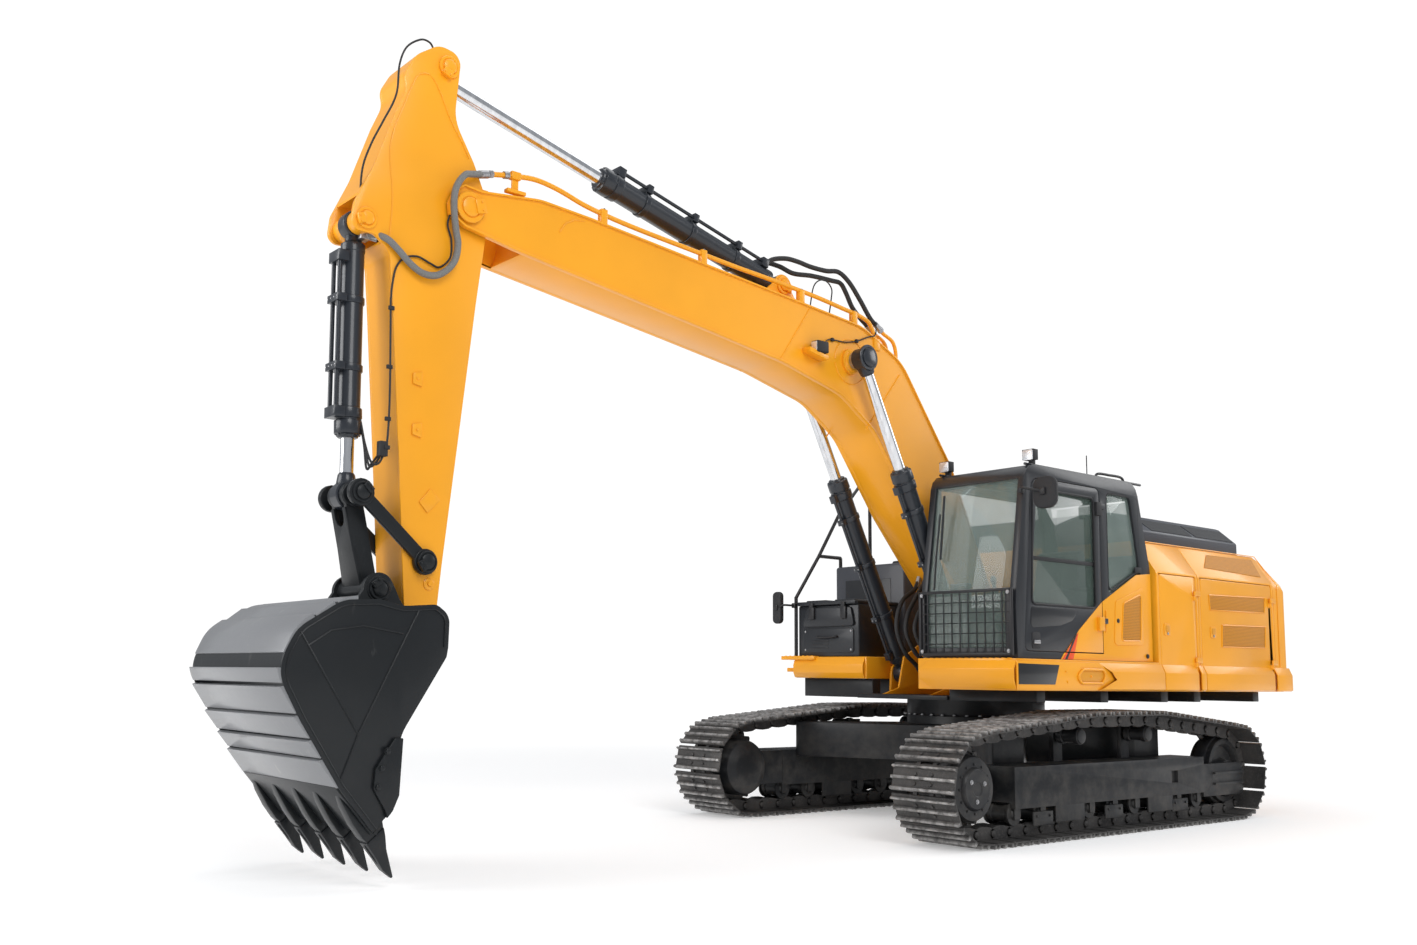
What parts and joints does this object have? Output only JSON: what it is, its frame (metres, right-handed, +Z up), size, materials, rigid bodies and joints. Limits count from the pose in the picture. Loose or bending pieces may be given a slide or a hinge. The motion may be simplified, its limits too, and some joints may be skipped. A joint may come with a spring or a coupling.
{
  "type": "crawler excavator",
  "caption": "Tracked hydraulic excavator: slewing cab and engine house on a crawler undercarriage, with jointed boom, arm and toothed bucket moved by cylinders.",
  "frame": {"origin": "on the ground, under the slewing axis", "axes": "+X forward to the bucket, +Y left to the cab side, +Z up"},
  "size_m": [10.7675, 3.4253, 5.6128],
  "materials": {
    "yellow_paint": "semi-gloss warm yellow paint",
    "charcoal_paint": "satin charcoal paint",
    "hood_grey": "satin dark grey paint",
    "undercarriage_paint": "dull near-black paint, dusty",
    "track_steel": "worn dark steel",
    "bucket_steel": "dark painted steel, scuffed",
    "cylinder_paint": "satin dark slate paint",
    "chrome_rod": "hard-chromed rod",
    "cab_glass": "green-tinted safety glass",
    "engine_grey": "machine grey",
    "seat_cloth": "dark woven cloth",
    "console_plastic": "moulded black plastic",
    "rail_paint": "satin black tube"
  },
  "bodies": {
    "undercarriage": {"car_body": "undercarriage_paint", "track_frame_left": "undercarriage_paint", "track_frame_right": "undercarriage_paint", "track_left": "track_steel", "track_right": "track_steel", "rollers": "undercarriage_paint", "sprockets": "undercarriage_paint", "idlers": "undercarriage_paint", "tow_eyes": "yellow_paint"},
    "upper_structure": {"boom_brackets": "yellow_paint", "cab_glass": "cab_glass", "cab_shell": "charcoal_paint", "consoles": "console_plastic", "cooler_enclosure": "yellow_paint", "counterweight": "yellow_paint", "engine_block": "engine_grey", "engine_enclosure": "yellow_paint", "front_guard": "charcoal_paint", "fuel_tank": "charcoal_paint", "handrail": "rail_paint", "hydraulic_tank": "charcoal_paint", "left_platform": "yellow_paint", "lifting_eyes": "yellow_paint", "mirrors": "charcoal_paint", "operator_seat": "seat_cloth", "platform_frame": "yellow_paint", "right_platform": "yellow_paint", "right_step": "yellow_paint", "roof_hatch": "charcoal_paint", "roof_lamps": "charcoal_paint", "seat_pedestal": "engine_grey", "storage_box": "charcoal_paint"},
    "cab_door": {"cab_door": "charcoal_paint", "cab_door_glass": "cab_glass"},
    "left_door_front": {"left_door_front": "yellow_paint"},
    "left_door_rear": {"left_door_rear": "yellow_paint"},
    "right_door": {"right_door": "yellow_paint"},
    "engine_hood": {"engine_hood": "hood_grey"},
    "storage_lid": {"storage_lid": "charcoal_paint"},
    "boom": {"boom": "yellow_paint", "boom_lines": "yellow_paint"},
    "boom_cylinder_barrels": {"boom_cylinder_barrels": "cylinder_paint"},
    "boom_cylinder_rods": {"boom_cylinder_rods": "chrome_rod"},
    "arm_cylinder_barrel": {"arm_cylinder_barrel": "cylinder_paint"},
    "arm_cylinder_rod": {"arm_cylinder_rod": "chrome_rod"},
    "arm": {"arm": "yellow_paint"},
    "bucket_cylinder_barrel": {"bucket_cylinder_barrel": "cylinder_paint"},
    "bucket_cylinder_rod": {"bucket_cylinder_rod": "chrome_rod"},
    "side_links": {"side_links": "bucket_steel"},
    "h_link": {"h_link": "bucket_steel"},
    "bucket": {"bucket": "bucket_steel", "bucket_teeth": "bucket_steel"}
  },
  "joints": [
    {"name": "swing", "type": "hinge", "parent": "undercarriage", "child": "upper_structure", "pos_m": [0, 0, 0.96], "axis": [0, 0, 1], "continuous": true},
    {"name": "cab_door_hinge", "type": "hinge", "parent": "upper_structure", "child": "cab_door", "pos_m": [0.195, 1.476, 2.2], "axis": [0, 0, 1], "range_deg": [0, 165]},
    {"name": "left_door_front_hinge", "type": "hinge", "parent": "upper_structure", "child": "left_door_front", "pos_m": [-1.348, 1.511, 1.8], "axis": [0, 0, 1], "range_deg": [0, 120]},
    {"name": "left_door_rear_hinge", "type": "hinge", "parent": "upper_structure", "child": "left_door_rear", "pos_m": [-2.859, 1.511, 1.8], "axis": [0, 0, 1], "range_deg": [0, 120]},
    {"name": "right_door_hinge", "type": "hinge", "parent": "upper_structure", "child": "right_door", "pos_m": [-2.859, -1.511, 1.8], "axis": [0, 0, -1], "range_deg": [0, 120]},
    {"name": "engine_hood_hinge", "type": "hinge", "parent": "upper_structure", "child": "engine_hood", "pos_m": [-0.9, 0, 2.6], "axis": [0, 1, 0], "range_deg": [0, 50]},
    {"name": "storage_lid_hinge", "type": "hinge", "parent": "upper_structure", "child": "storage_lid", "pos_m": [0.33, -1.04, 2.062], "axis": [0, -1, 0], "range_deg": [0, 85]},
    {"name": "boom_lift", "type": "hinge", "parent": "upper_structure", "child": "boom", "pos_m": [0.09, 0, 1.89], "axis": [0, -1, 0], "range_deg": [-70, 40]},
    {"name": "arm_crowd", "type": "hinge", "parent": "boom", "child": "arm", "pos_m": [5.9294, 0, 4.50943], "axis": [0, -1, 0], "range_deg": [-36, 74]},
    {"name": "bucket_curl", "type": "hinge", "parent": "arm", "child": "bucket", "pos_m": [6.19929, 0, 1.47943], "axis": [0, -1, 0], "range_deg": [-150, 12]},
    {"name": "boom_cylinder_pivot", "type": "hinge", "parent": "upper_structure", "child": "boom_cylinder_barrels", "pos_m": [0.6, 0, 1.35], "axis": [0, -1, 0], "range_deg": [-75, 45]},
    {"name": "boom_cylinder_stroke", "type": "slide", "parent": "boom_cylinder_barrels", "child": "boom_cylinder_rods", "axis": [0.4608, 0, 0.8875], "range_m": [-0.85, 0.5]},
    {"name": "arm_cylinder_pivot", "type": "hinge", "parent": "boom", "child": "arm_cylinder_barrel", "pos_m": [2.69014, 0, 4.64996], "axis": [0, -1, 0], "range_deg": [-10, 10]},
    {"name": "arm_cylinder_stroke", "type": "slide", "parent": "arm_cylinder_barrel", "child": "arm_cylinder_rod", "axis": [0.97, 0, 0.2431], "range_m": [-1.25, 0.62]},
    {"name": "bucket_cylinder_pivot", "type": "hinge", "parent": "arm", "child": "bucket_cylinder_barrel", "pos_m": [6.67942, 0, 4.27204], "axis": [0, -1, 0], "range_deg": [-10, 10]},
    {"name": "bucket_cylinder_stroke", "type": "slide", "parent": "bucket_cylinder_barrel", "child": "bucket_cylinder_rod", "axis": [-0.0084, 0, -1], "range_m": [-0.2, 1.05]},
    {"name": "side_link_pivot", "type": "hinge", "parent": "arm", "child": "side_links", "pos_m": [6.18208, 0, 2.02204], "axis": [0, -1, 0], "range_deg": [-105, 20]},
    {"name": "h_link_pivot", "type": "hinge", "parent": "bucket", "child": "h_link", "pos_m": [6.52129, 0, 1.82343], "axis": [0, -1, 0], "range_deg": [-30, 130]}
  ],
  "couplings": [
    {"joint": "boom_cylinder_pivot", "follows": "boom_lift", "ratio": 0.983},
    {"joint": "boom_cylinder_stroke", "follows": "boom_lift", "m_per_rad": 0.634},
    {"joint": "arm_cylinder_pivot", "follows": "arm_crowd", "ratio": 0.023},
    {"joint": "arm_cylinder_stroke", "follows": "arm_crowd", "m_per_rad": -0.86},
    {"joint": "bucket_cylinder_pivot", "follows": "bucket_curl", "ratio": 0.012},
    {"joint": "bucket_cylinder_stroke", "follows": "bucket_curl", "m_per_rad": -0.366},
    {"joint": "side_link_pivot", "follows": "bucket_curl", "ratio": 0.656},
    {"joint": "h_link_pivot", "follows": "bucket_curl", "ratio": -0.82}
  ]
}
